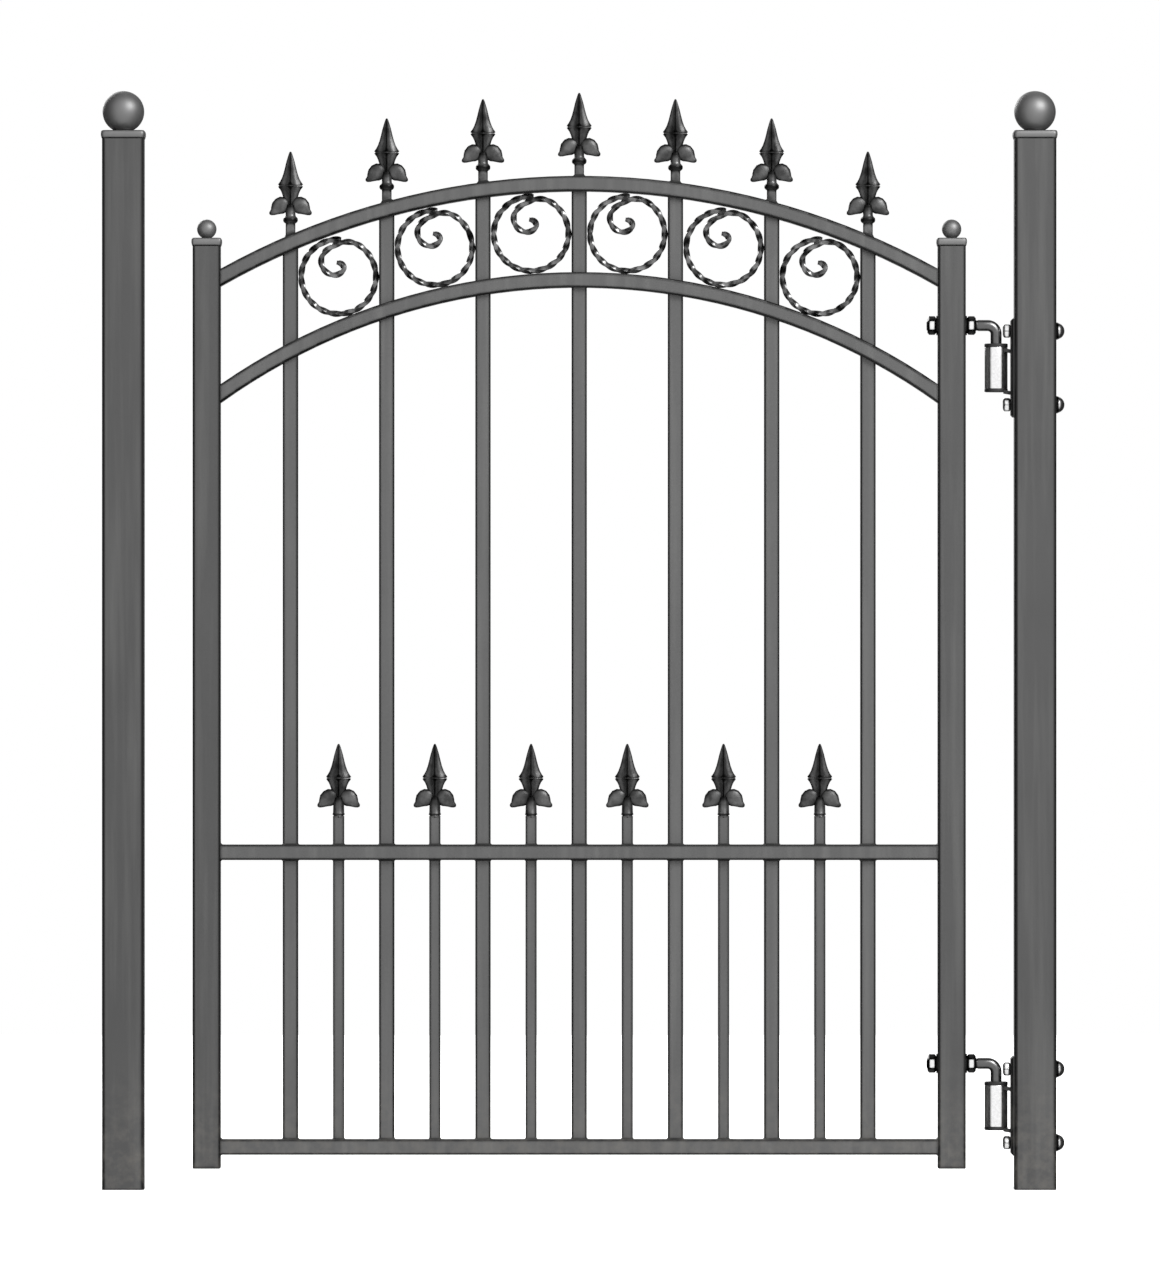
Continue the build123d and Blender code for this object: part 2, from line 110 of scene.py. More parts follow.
def hex_outline(bm):
    """Draws a hexagon of half width 1 across its flats, its corners just eased."""
    bmesh.ops.create_circle(bm, segments=6, radius=1 / math.cos(math.radians(30)), cap_ends=False)
    soften(bm, list(bm.verts), 0.1, 3)
    flats = [e for e in bm.edges if e.calc_length() > 0.4]
    bmesh.ops.subdivide_edges(bm, edges=flats, cuts=2)


def round_outline(sides=24):
    def draw(bm):
        bmesh.ops.create_circle(bm, segments=sides, radius=1.0, cap_ends=False)

    return draw


def fluted_outline(bm):
    """Draws a four-ridged outline of reach 1, its sides hollowed between the ridges."""
    bmesh.ops.create_circle(bm, segments=4, radius=1.0, cap_ends=False)
    bmesh.ops.subdivide_edges(bm, edges=list(bm.edges), cuts=5)
    for vert in bm.verts:
        beside = abs(abs(vert.co.x) - abs(vert.co.y))  # 0 halfway between two ridges, 1 on a ridge
        vert.co *= FLUTE + (1 - FLUTE) * beside


def add_shell(piece, shell):
    """Puts a finished shell in with a piece's other shells."""
    part = bpy.data.meshes.new("shell")
    shell.to_mesh(part)
    shell.free()
    piece.from_mesh(part)
    bpy.data.meshes.remove(part)


def loft(piece, outline, frames):
    """Carries an outline through placed frames as one closed shell."""
    bm = bmesh.new()
    outline(bm)
    bmesh.ops.transform(bm, matrix=frames[0], verts=bm.verts)
    edges = list(bm.edges)
    bmesh.ops.contextual_create(bm, geom=edges)
    for before, after in zip(frames, frames[1:]):
        grown = bmesh.ops.extrude_edge_only(bm, edges=edges)["geom"]
        verts = [g for g in grown if isinstance(g, bmesh.types.BMVert)]
        fresh = set(verts)
        edges = [g for g in grown if isinstance(g, bmesh.types.BMEdge) and set(g.verts) <= fresh]
        bmesh.ops.transform(bm, matrix=after @ before.inverted(), verts=verts)
    bmesh.ops.contextual_create(bm, geom=edges)
    add_shell(piece, bm)


def turned(piece, profile, rounding=0.0, steps=48, closed=False, placed=None):
    """Spins a (radius, height) profile about the vertical, with its inner corners rounded first."""
    bm = bmesh.new()
    verts = [bm.verts.new((radius, 0, height)) for radius, height in profile]
    pairs = list(zip(verts, verts[1:]))
    if closed:
        pairs.append((verts[-1], verts[0]))
    for pair in pairs:
        bm.edges.new(pair)
    if rounding:
        soften(bm, verts if closed else verts[1:-1], rounding, 3)
    bmesh.ops.spin(
        bm,
        geom=list(bm.verts) + list(bm.edges),
        cent=(0, 0, 0),
        axis=(0, 0, 1),
        dvec=(0, 0, 0),
        angle=math.tau,
        steps=steps,
        use_merge=True,
    )
    if placed is not None:
        bmesh.ops.transform(bm, matrix=placed, verts=bm.verts)
    add_shell(piece, bm)


def sphere_points(radius, height, from_angle, steps):
    """Points up a ball's side, from an angle below its equator to its top, as (radius, height)."""
    points = []
    for i in range(steps + 1):
        angle = math.radians(-from_angle + (90 + from_angle) * i / steps)
        points.append((radius * math.cos(angle), height + radius * math.sin(angle)))
    points[-1] = (0.0, height + radius)
    return points


def finish_piece(bm, name, body, material, stands_for=(), crease=35.0):
    """Closes the shells, turns their faces outwards and hangs the piece on its body."""
    bmesh.ops.remove_doubles(bm, verts=bm.verts, dist=0.005)
    bmesh.ops.dissolve_degenerate(bm, edges=bm.edges, dist=0.002)
    bmesh.ops.recalc_face_normals(bm, faces=bm.faces)
    bmesh.ops.scale(bm, vec=(MM, MM, MM), verts=bm.verts)
    mesh = bpy.data.meshes.new(name)
    bm.to_mesh(mesh)
    bm.free()
    mesh.shade_smooth()
    mesh.set_sharp_from_angle(angle=math.radians(crease))
    mesh.materials.append(material)
    piece = bpy.data.objects.new(name, mesh)
    bpy.context.scene.collection.objects.link(piece)
    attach(piece, body)
    if stands_for:
        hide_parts(*stands_for)


# ---- shader groups ------------------------------------------------------------------------------
def new_group(name, inputs, outputs):
    """An empty shader group with number inputs (name, value) and number outputs (name)."""
    group = bpy.data.node_groups.new(name, "ShaderNodeTree")
    for label, value in inputs:
        made = group.interface.new_socket(label, in_out="INPUT", socket_type="NodeSocketFloat")
        made.default_value = value
    for label in outputs:
        group.interface.new_socket(label, in_out="OUTPUT", socket_type="NodeSocketFloat")
    return group, group.nodes.new("NodeGroupInput"), group.nodes.new("NodeGroupOutput")


def wire(tree, source, target):
    tree.links.new(source, target)


def math_node(tree, operation, first, second=None, third=None):
    node = tree.nodes.new("ShaderNodeMath")
    node.operation = operation
    for i, value in enumerate((first, second, third)):
        if value is None:
            continue
        if isinstance(value, (int, float)):
            node.inputs[i].default_value = value
        else:
            wire(tree, value, node.inputs[i])
    return node.outputs[0]


def remap(tree, value, low, high, to_low=0.0, to_high=1.0, smooth=False):
    node = tree.nodes.new("ShaderNodeMapRange")
    node.interpolation_type = "SMOOTHSTEP" if smooth else "LINEAR"
    wire(tree, value, node.inputs["Value"])
    for label, amount in (("From Min", low), ("From Max", high), ("To Min", to_low), ("To Max", to_high)):
        node.inputs[label].default_value = amount
    return node.outputs[0]


def noise(tree, scale, detail=3.0, roughness=0.5, stretch=(1.0, 1.0, 1.0)):
    """Noise on object coordinates, stretched by shrinking its scale along an axis."""
    place = tree.nodes.new("ShaderNodeTexCoord")
    mapping = tree.nodes.new("ShaderNodeMapping")
    mapping.inputs["Scale"].default_value = stretch
    wire(tree, place.outputs["Object"], mapping.inputs["Vector"])
    node = tree.nodes.new("ShaderNodeTexNoise")
    node.inputs["Scale"].default_value = scale
    node.inputs["Detail"].default_value = detail
    node.inputs["Roughness"].default_value = roughness
    wire(tree, mapping.outputs["Vector"], node.inputs["Vector"])
    return node.outputs["Fac"]


def mix_colour(tree, amount, first, second):
    node = tree.nodes.new("ShaderNodeMix")
    node.data_type = "RGBA"
    for label, value in (("Factor", amount), ("A", first), ("B", second)):
        socket = [s for s in node.inputs if s.name == label and s.enabled][0]
        if isinstance(value, (tuple, float, int)):
            socket.default_value = value
        else:
            wire(tree, value, socket)
    return [s for s in node.outputs if s.enabled][0]


def coat_grain_group():
    """The fine orange peel of a baked powder coat, and its faint cloudiness."""
    group, _, given = new_group("coat_grain", [], ["Height", "Cloud"])
    peel = noise(group, 900.0, detail=2.0)
    pits = noise(group, 260.0, detail=3.0, roughness=0.6)
    both = math_node(group, "MULTIPLY_ADD", pits, 0.5, peel)
    wire(group, both, given.inputs["Height"])
    cloud = noise(group, 9.0, detail=4.0, roughness=0.55)
    wire(group, remap(group, cloud, 0.3, 0.7), given.inputs["Cloud"])
    return group


def corner_shade_group():
    """Masks of painted shade, dark outlines standing in for shade. Edge marks the strips beside sharp edges.
    Mask adds the rounded corners of square tube, where the object-space normal turns between the front and the
    side.
    """
    group, taken, given = new_group("corner_shade", [("Radius", 0.0046)], ["Mask", "Edge"])
    surface = group.nodes.new("ShaderNodeNewGeometry")
    local = group.nodes.new("ShaderNodeVectorTransform")
    local.vector_type, local.convert_from, local.convert_to = "NORMAL", "WORLD", "OBJECT"
    wire(group, surface.outputs["Normal"], local.inputs["Vector"])
    apart = group.nodes.new("ShaderNodeSeparateXYZ")
    wire(group, local.outputs["Vector"], apart.inputs["Vector"])
    through = math_node(group, "ABSOLUTE", apart.outputs["Y"])
    squared = math_node(group, "MULTIPLY", through, through)
    across = math_node(group, "SQRT", math_node(group, "SUBTRACT", 1.0, squared))
    flat = math_node(group, "MAXIMUM", through, across)
    # painted shade on the corners, where the normal is neither square to Y nor along it
    corner = remap(group, flat, 0.9995, 0.975, smooth=True)
    soft = group.nodes.new("ShaderNodeBevel")
    soft.samples = 4
    wire(group, taken.outputs["Radius"], soft.inputs["Radius"])
    agree = group.nodes.new("ShaderNodeVectorMath")
    agree.operation = "DOT_PRODUCT"
    wire(group, soft.outputs["Normal"], agree.inputs[0])
    wire(group, surface.outputs["Normal"], agree.inputs[1])
    # painted shade beside sharp edges, where the bevelled normal leaves the true one
    beside = remap(group, agree.outputs["Value"], 0.999, 0.965)
    wire(group, math_node(group, "MAXIMUM", corner, beside), given.inputs["Mask"])
    wire(group, beside, given.inputs["Edge"])
    return group


def edge_shade_group():
    """A mask of the ridges and rims of a shell, for painted shade along them."""
    group, taken, given = new_group("edge_shade", [("Start", 0.52), ("Full", 0.60)], ["Mask"])
    surface = group.nodes.new("ShaderNodeNewGeometry")
    node = group.nodes.new("ShaderNodeMapRange")
    wire(group, surface.outputs["Pointiness"], node.inputs["Value"])
    wire(group, taken.outputs["Start"], node.inputs["From Min"])
    wire(group, taken.outputs["Full"], node.inputs["From Max"])
    wire(group, node.outputs[0], given.inputs["Mask"])
    return group


def weather_group():
    """Dust that settles low down and rain streaks that run down the gate."""
    group, _, given = new_group("weather", [], ["Dust", "Streak"])
    place = group.nodes.new("ShaderNodeTexCoord")
    apart = group.nodes.new("ShaderNodeSeparateXYZ")
    wire(group, place.outputs["Object"], apart.inputs["Vector"])
    low = remap(group, apart.outputs["Z"], 0.22, 0.0, smooth=True)
    speck = remap(group, noise(group, 55.0, detail=5.0, roughness=0.7), 0.42, 0.68)
    wire(group, math_node(group, "MULTIPLY", low, speck), given.inputs["Dust"])
    streak = noise(group, 70.0, detail=3.0, stretch=(1.0, 1.0, 0.04))
    wire(group, remap(group, streak, 0.45, 0.75), given.inputs["Streak"])
    return group


COAT_GRAIN = coat_grain_group()
CORNER_SHADE = corner_shade_group()
EDGE_SHADE = edge_shade_group()
WEATHER = weather_group()


def placed_group(tree, group, **settings):
    node = tree.nodes.new("ShaderNodeGroup")
    node.node_tree = group
    for label, value in settings.items():
        node.inputs[label].default_value = value
    return node


def new_material(name):
    material = bpy.data.materials.new(name)
    material.use_nodes = True
    tree = material.node_tree
    return material, tree, tree.nodes["Principled BSDF"]


def bump(tree, shader, height, strength, distance):
    node = tree.nodes.new("ShaderNodeBump")
    node.inputs["Strength"].default_value = strength
    node.inputs["Distance"].default_value = distance
    wire(tree, height, node.inputs["Height"])
    wire(tree, node.outputs["Normal"], shader.inputs["Normal"])


CLOUD = 0.06  # how far a coat's grey wanders either way
STREAK_COLOUR = (0.3, 0.3, 0.29, 1.0)
DUST_COLOUR = (0.26, 0.24, 0.21, 1.0)
RIDGE_SHADE_GREY = 0.004  # grey of the shade painted along a ridge or rim
ZINC_RIM = 0.01  # grey of the shade painted on the plate along an edge
SPANGLE = 0.05  # how far the plate's grey wanders either way


def powder_coat(name, face, corner, gloss, corners=True, metal=0.0, rim=0.0):
    """Baked powder coat on steel, with painted shade on its corners and edges. face and corner are greys,
    corner the grey of the painted shade, gloss the roughness, rim an outline of painted shade beside sharp
    edges.
    """
    material, tree, shader = new_material(name)
    grain = placed_group(tree, COAT_GRAIN)
    weather = placed_group(tree, WEATHER)
    colour = mix_colour(tree, grain.outputs["Cloud"], grey(face * (1 - CLOUD)), grey(face * (1 + CLOUD)))
    streak = math_node(tree, "MULTIPLY", weather.outputs["Streak"], 0.10)
    streaked = mix_colour(tree, streak, colour, STREAK_COLOUR)
    if corners:
        shade = placed_group(tree, CORNER_SHADE)
        # painted shade on the tube's rounded corners
        streaked = mix_colour(tree, shade.outputs["Mask"], streaked, grey(corner))
    if rim:
        shade = placed_group(tree, CORNER_SHADE, Radius=rim)
        # painted shade as an outline beside sharp edges
        streaked = mix_colour(tree, shade.outputs["Edge"], streaked, grey(corner))
    dust = math_node(tree, "MULTIPLY", weather.outputs["Dust"], 0.22)
    dusty = mix_colour(tree, dust, streaked, DUST_COLOUR)
    wire(tree, dusty, shader.inputs["Base Color"])
    rough = math_node(tree, "MULTIPLY_ADD", grain.outputs["Cloud"], 0.08, gloss)
    dulled = math_node(tree, "MULTIPLY_ADD", weather.outputs["Dust"], 0.3, rough)
    wire(tree, dulled, shader.inputs["Roughness"])
    shader.inputs["Metallic"].default_value = metal
    bump(tree, shader, grain.outputs["Height"], 0.25, 0.0001)
    return material


def painted_casting(name, face, deep, metal, gloss, edges, bumpiness=0.5):
    """Dark paint over cast or forged iron, with painted shade on its ridges. edges is where its darkening on
    ridges, a painted shade, starts and is full.
    """
    material, tree, shader = new_material(name)
    cast = noise(tree, 420.0, detail=5.0, roughness=0.6)
    patch = remap(tree, noise(tree, 60.0, detail=4.0), 0.35, 0.65)
    colour = mix_colour(tree, patch, grey(deep), grey(face))
    # painted shade on the ridges and rims
    rim = placed_group(tree, EDGE_SHADE, Start=edges[0], Full=edges[1])
    shaded = mix_colour(tree, rim.outputs["Mask"], colour, grey(RIDGE_SHADE_GREY))
    wire(tree, shaded, shader.inputs["Base Color"])
    shader.inputs["Metallic"].default_value = metal
    wire(tree, math_node(tree, "MULTIPLY_ADD", cast, 0.2, gloss - 0.1), shader.inputs["Roughness"])
    bump(tree, shader, cast, bumpiness, 0.0003)
    return material


def plated_steel(name, face, gloss, drawn=0.0, edges=(0.53, 0.6), outline="", rim=0.0034):
    """Bright zinc plate with a faint spangle, and painted shade on its edges. drawn sets drawing lines, outline
    picks a corner mask of painted shade.
    """
    material, tree, shader = new_material(name)
    patch = remap(tree, noise(tree, 240.0, detail=2.0), 0.35, 0.65)
    colour = mix_colour(tree, patch, grey(face * (1 - SPANGLE)), grey(face * (1 + SPANGLE)))
    # painted shade along the plate's edges and rims
    painted_edge_shade = placed_group(tree, EDGE_SHADE, Start=edges[0], Full=edges[1])
    shaded = mix_colour(tree, painted_edge_shade.outputs["Mask"], colour, grey(ZINC_RIM))
    if outline:
        # painted shade as dark outlines on corners and beside edges
        shade = placed_group(tree, CORNER_SHADE, Radius=rim)
        shaded = mix_colour(tree, shade.outputs[outline], shaded, grey(ZINC_RIM))
    wire(tree, shaded, shader.inputs["Base Color"])
    shader.inputs["Metallic"].default_value = 1.0
    wire(tree, math_node(tree, "MULTIPLY_ADD", patch, 0.04, gloss), shader.inputs["Roughness"])
    if drawn:
        lines = noise(tree, 900.0, detail=2.0, stretch=(1.0, 1.0, 0.05))
        bump(tree, shader, lines, drawn, 0.00005)
    return material


def plain_finish(name, colour, gloss, metal=0.0):
    """Moulded plastic, enamel or bronze with a fine tooth."""
    material, tree, shader = new_material(name)
    tooth = noise(tree, 700.0, detail=3.0)
    low = tuple(c * 0.85 for c in colour) + (1.0,)
    high = tuple(c * 1.15 for c in colour) + (1.0,)
    wire(tree, mix_colour(tree, tooth, low, high), shader.inputs["Base Color"])
    shader.inputs["Metallic"].default_value = metal
    wire(tree, math_node(tree, "MULTIPLY_ADD", tooth, 0.12, gloss), shader.inputs["Roughness"])
    bump(tree, shader, tooth, 0.3, 0.0001)
    return material


# A coat's second grey is the painted shade on its corners and edges, where it has them.
POST_COAT = powder_coat("post_coat", 0.050, 0.002, 0.5)
STILE_COAT = powder_coat("stile_coat", 0.052, 0.002, 0.5)
RAIL_COAT = powder_coat("rail_coat", 0.073, 0.002, 0.5)
PICKET_COAT = powder_coat("picket_coat", 0.075, 0.002, 0.45)
CAP_COAT = powder_coat("cap_coat", 0.2, 0.003, 0.48, corners=False, metal=0.8, rim=0.0022)
BRACKET_COAT = powder_coat("bracket_coat", 0.02, 0.002, 0.5)
WELD_COAT = powder_coat("weld_coat", 0.012, 0.002, 0.55, corners=False)
# The castings' darkened ridges and rims are painted shade.
SPEAR_PAINT = painted_casting("spear_paint", 0.15, 0.05, 0.8, 0.4, (0.516, 0.562))
SCROLL_PAINT = painted_casting("scroll_paint", 0.24, 0.01, 0.9, 0.28, (0.52, 0.58), 0.3)
# The plates' darkened edges and outlines are painted shade.
BARREL_ZINC = plated_steel("barrel_zinc", 0.97, 0.16)
BOLT_ZINC = plated_steel("bolt_zinc", 0.15, 0.3, drawn=0.1, edges=(0.7, 0.95))
FASTENER_ZINC = plated_steel("fastener_zinc", 0.97, 0.2, edges=(0.53, 0.58), outline="Edge", rim=0.003)
NUT_ZINC = plated_steel("nut_zinc", 0.97, 0.2, edges=(0.53, 0.58), outline="Mask")
BUSH_NYLON = plain_finish("bush_nylon", (0.012,) * 3, 0.45)
PLUG_ENAMEL = plain_finish("plug_enamel", (0.012,) * 3, 0.4)
DISC_BRONZE = plain_finish("disc_bronze", (0.55, 0.36, 0.15), 0.3, 1.0)
FOOT_PLASTIC = plain_finish("foot_plastic", (0.02,) * 3, 0.5)


# ---- ball caps ----------------------------------------------------------------------------------
# Height below the cap's top and half width beyond the tube's face, of a skirt rolled to a bead.
CAP_BEAD = (
    (-12.0, 0.15),
    (-11.6, 0.5),
    (-9.5, 1.15),
    (-7.5, 1.6),
    (-5.5, 1.7),
    (-3.2, 1.55),
    (-1.4, 1.0),
    (-0.35, 0.1),
)
CAP_INSIDE = 0.1  # half width of the cap's hollow beyond the tube's face
CAP_SHEET = 1.6
BALL_NECK = 0.48  # of the ball's radius, as are the next two
BALL_WELD = 0.09
BALL_RISE = 0.9
BALLS = {"post": 60.0, "stile": 28.0}


def ball_cap(name, body, tube_node, ball_size):
    """A pressed square cap with a rolled bead, and the ball welded on it."""
    x, half = across_box(tube_node)
    top = node_box(tube_node)[1].z + CAP_SHEET
    bm = bmesh.new()
    inner = half + CAP_INSIDE
    sizes = [(-1.7, inner - 2.0), (-1.7, inner), (-11.9, inner)]
    sizes += [(down, half + out) for down, out in CAP_BEAD]
    sizes += [(0.0, half - CAP_SHEET)]
    frames = [frame_at(x, 0, top + down, wide=size, deep=size) for down, size in sizes]
    loft(bm, square_outline(corner=0.18, steps=6, cuts=4), frames)
    radius = ball_size / 2
    neck = BALL_NECK * radius
    weld = BALL_WELD * radius
    foot = [(0.0, -0.5), (neck + weld, -0.5), (neck + weld, 0.0), (neck + 0.35 * weld, 0.4 * weld)]
    dip = math.degrees(math.acos((neck + 0.05 * weld) / radius))
    ball = foot + sphere_points(radius, BALL_RISE * radius, dip, 48)
    turned(bm, ball, steps=120, placed=Matrix.Translation((x, 0, top)))
    finish_piece(bm, name, body, CAP_COAT, (f"{tube_node}_cap",), crease=40)


for side in ("latch", "hinge"):
    for tube, body, slot in (("post", "posts", "post_paint"), ("stile", "leaf", "leaf_paint")):
        ball_cap(f"{side}_{tube}_ball_cap", body, f"{side}_{tube}", BALLS[tube])


# ---- cast spearheads ----------------------------------------------------------------------------
SPEAR_TALL = 104.0
# Height above the collar's foot, half width and half depth of the fluted blade.
BLADE = (
    (25.5, 1.2, 6.8),
    (29.0, 4.6, 7.8),
    (33.5, 8.2, 8.6),
    (38.0, 10.6, 9.2),
    (44.0, 12.4, 9.9),
    (48.5, 14.4, 10.8),
    (52.0, 17.0, 12.0),
    (53.6, 18.0, 12.6),
    (54.2, 16.6, 11.4),
    (55.4, 16.6, 11.4),
    (56.0, 18.0, 12.6),
    (57.6, 17.4, 12.2),
    (60.5, 15.2, 11.0),
    (65.0, 12.8, 9.6),
    (72.0, 10.3, 7.9),
    (80.0, 8.2, 6.5),
    (88.5, 6.2, 5.0),
    (96.0, 4.0, 3.4),
    (101.0, 2.4, 2.2),
    (103.4, 1.3, 1.3),
    (104.0, 0.4, 0.4),
)
# Middle of a leaf from its root to its tip as x, height, lean, half breadth and half thickness.
LEAF = (
    (2.5, 28.5, 98.0, 7.0, 3.4),
    (7.0, 28.2, 100.0, 10.5, 4.8),
    (12.0, 27.2, 106.0, 12.4, 5.4),
    (16.5, 25.3, 116.0, 12.2, 5.3),
    (20.3, 22.2, 128.0, 10.2, 4.8),
    (23.3, 18.9, 130.0, 7.2, 4.1),
    (26.0, 16.7, 118.0, 4.9, 3.5),
    (28.4, 15.6, 104.0, 3.5, 2.9),
    (30.0, 15.3, 98.0, 2.2, 2.0),
    (30.6, 15.2, 96.0, 0.9, 0.9),
)
# Height and half width of the turned stem under the leaves.
TALL_STEM = (
    (-0.6, 6.6),
    (0.6, 7.4),
    (2.2, 9.6),
    (4.2, 10.6),
    (7.6, 10.5),
    (9.2, 9.2),
    (11.0, 7.5),
    (14.0, 7.1),
    (20.0, 7.6),
    (27.0, 6.6),
)
SHORT_STEM = (
    (-3.4, 7.3),
    (-2.6, 8.0),
    (-0.9, 8.2),
    (0.0, 7.3),
    (0.9, 7.3),
    (1.8, 8.6),
    (3.2, 8.7),
    (4.6, 8.1),
    (14.0, 7.9),
    (20.0, 7.6),
    (27.0, 6.6),
)
SHANK = 6.9  # half width of a tall spear's square shank
SHANK_SINK = 3.0  # how far the shank runs into the rail
SHANK_STEPS = 6


def spear_shells(bm, x, foot, stem):
    """The blade, its two leaves and its stem, standing at x on the height foot."""
    loft(bm, fluted_outline, [frame_at(x, 0, foot + z, wide=w, deep=d) for z, w, d in BLADE])
    for hand in (-1, 1):
        stations = []
        for along, z, lean, breadth, thick in LEAF:
            middle = (x + hand * along, 0, foot + z)
            stations.append(frame_at(*middle, lean=hand * lean, wide=breadth, deep=thick))
        loft(bm, round_outline(20), stations)
    loft(bm, round_outline(24), [frame_at(x, 0, foot + z, wide=size, deep=size) for z, size in stem])


def tall_spear(number):
    """A spearhead on a square shank that is welded to the top rail."""
    node = f"tall_spear_{number}"
    low, high = node_box(node)
    x = (low.x + high.x) / 2
    foot = high.z - SPEAR_TALL
    bm = bmesh.new()
    spear_shells(bm, x, foot, TALL_STEM)
    start = low.z - SHANK_SINK
    reach = foot + 1.0 - start
    heights = [start + reach * i / SHANK_STEPS for i in range(SHANK_STEPS + 1)]
    frames = [frame_at(x, 0, z, wide=SHANK, deep=SHANK) for z in heights]
    loft(bm, square_outline(corner=0.3, steps=3, cuts=4), frames)
    finish_piece(bm, f"tall_spearhead_{number}", "leaf", SPEAR_PAINT, (node,), crease=50)


def short_spear(number):
    """A spearhead whose stem stands on a short picket."""
    node = f"short_spear_{number}"
    low, high = node_box(node)
    bm = bmesh.new()
    spear_shells(bm, (low.x + high.x) / 2, high.z - SPEAR_TALL, SHORT_STEM)
    finish_piece(bm, f"short_spearhead_{number}", "leaf", SPEAR_PAINT, (node,), crease=50)


for number in range(1, TALL_COUNT + 1):
    tall_spear(number)
for number in range(1, SHORT_COUNT + 1):
    short_spear(number)


# ---- scrolls of twisted bar ---------------------------------------------------------------------
SCROLL_SIDE = 6.9  # across the flats of the square bar
SCROLL_TWIST = 5.1  # degrees of twist to each millimetre of bar
SCROLL_FROM = 86.0  # where the ring starts, in degrees from +X
SCROLL_RING = 330.0  # degrees of ring before the curl
SCROLL_CURL = ((32.0, 56.0), (80.0, 14.0), (20.0, 129.0), (16.0, 60.0), (7.5, 125.0))  # radius, turn
SCROLL_TAIL = 4.0
SCROLL_STEP = 2.2  # spacing of places along the bar
SCROLL_END = 0.8  # share of its thickness the bar keeps at its cut ends


def scroll_path(x, z, ring):
    """Places (x, z, heading) every few millimetres along the bar's middle."""
    heading = SCROLL_FROM + 90
    x += ring * math.cos(math.radians(SCROLL_FROM))
    z += ring * math.sin(math.radians(SCROLL_FROM))
    places = [(x, z, heading)]
    for radius, turn in ((ring, SCROLL_RING),) + SCROLL_CURL:
        steps = max(2, round(radius * math.radians(turn) / SCROLL_STEP))
        for _ in range(steps):
            bend = turn / steps
            chord = 2 * radius * math.sin(math.radians(bend / 2))
            heading += bend / 2
            x += chord * math.cos(math.radians(heading))
            z += chord * math.sin(math.radians(heading))
            heading += bend / 2
            places.append((x, z, heading))
    x += SCROLL_TAIL * math.cos(math.radians(heading))
    z += SCROLL_TAIL * math.sin(math.radians(heading))
    return places + [(x, z, heading)]


def scroll(number):
    """A ring of twisted square bar whose inner end curls in."""
    node = f"scroll_{number}"
    low, high = node_box(node)
    outside = (high.x - low.x) / 2
    thick = SCROLL_SIDE / 2
    ring = outside - 1.3 * thick
    places = scroll_path((low.x + high.x) / 2, low.z + outside, ring)
    bm = bmesh.new()
    frames = []
    run = 0.0
    for i, (px, pz, heading) in enumerate(places):
        if i:
            run += math.hypot(px - places[i - 1][0], pz - places[i - 1][1])
        size = thick * (SCROLL_END if i in (0, len(places) - 1) else 1.0)
        frames.append(frame_at(px, 0, pz, lean=90 - heading, turn=SCROLL_TWIST * run, wide=size, deep=size))
    loft(bm, square_outline(corner=0.2, steps=2, cuts=3), frames)
    finish_piece(bm, f"twisted_scroll_{number}", "leaf", SCROLL_PAINT, (node,), crease=30)


for number in range(1, SHORT_COUNT + 1):
    scroll(number)


# ---- hinges -------------------------------------------------------------------------------------
BARREL_BORE = 11.0  # radius, as are the next two
BUSH_OUTSIDE = 10.9
BUSH_BORE = 8.1
BUSH_REACH = 46.0  # how far the bush runs down the barrel
FLANGE_RISE = 5.0
PLUG_SPIGOT = 6.0
FIT = 0.05  # clearance between pieces that bear on one another


def hinge(level):
    """The barrel and its flanged bush, turned on the hinge's axis."""
    low, high = node_box(f"{level}_hinge_barrel")
    x, z = (low.x + high.x) / 2, (low.z + high.z) / 2
    outside, half = (high.x - low.x) / 2, (high.z - low.z) / 2
    centre = Matrix.Translation((x, 0, z))
    bm = bmesh.new()
    face = outside - 0.3
    wall = ((BARREL_BORE, -half), (face, -half), (face, half), (BARREL_BORE, half))
    turned(bm, wall, rounding=0.7, steps=72, closed=True, placed=centre)
    finish_piece(bm, f"{level}_barrel", "posts", BARREL_ZINC, (f"{level}_hinge_barrel",), 30)
    bm = bmesh.new()
    sleeve = (
        (BUSH_BORE, half - BUSH_REACH),
        (BUSH_OUTSIDE, half - BUSH_REACH),
        (BUSH_OUTSIDE, half + FIT),
        (outside, half + FIT),
        (outside, half + FLANGE_RISE - 0.6),
        (outside - 1.2, half + FLANGE_RISE),
        (BUSH_BORE + 0.6, half + FLANGE_RISE),
        (BUSH_BORE, half + FLANGE_RISE - 0.6),
    )
    turned(bm, sleeve, rounding=0.25, steps=72, closed=True, placed=centre)
    finish_piece(bm, f"{level}_bush", "posts", BUSH_NYLON, (f"{level}_hinge_bush",), 30)


def barrel_plugs():
    """The plug with a rim that closes each barrel's foot."""
    bm = bmesh.new()
    for level in ("upper", "lower"):
        x, outside = across_box(f"{level}_hinge_barrel")
        centre = Matrix.Translation((x, 0, node_box(f"{level}_hinge_barrel")[0].z))
        plug = (
            (0.0, PLUG_SPIGOT),
            (BUSH_OUTSIDE, PLUG_SPIGOT),
            (BUSH_OUTSIDE, -FIT),
            (outside, -FIT),
            (outside, 0.8 - FLANGE_RISE),
            (outside - 1.6, -FLANGE_RISE),
            (0.0, -FLANGE_RISE),
        )
        turned(bm, plug, rounding=0.3, steps=72, placed=centre)
    finish_piece(bm, "barrel_plugs", "posts", PLUG_ENAMEL, ("hinge_barrel_plugs",), 30)


THREAD_PITCH = 2.0
THREAD_DEPTH = 0.9
THREAD_TURNS = 36
BOLT_BEND = 12.0
BEND_STEPS = 12
BOLT_EASING = 1.4


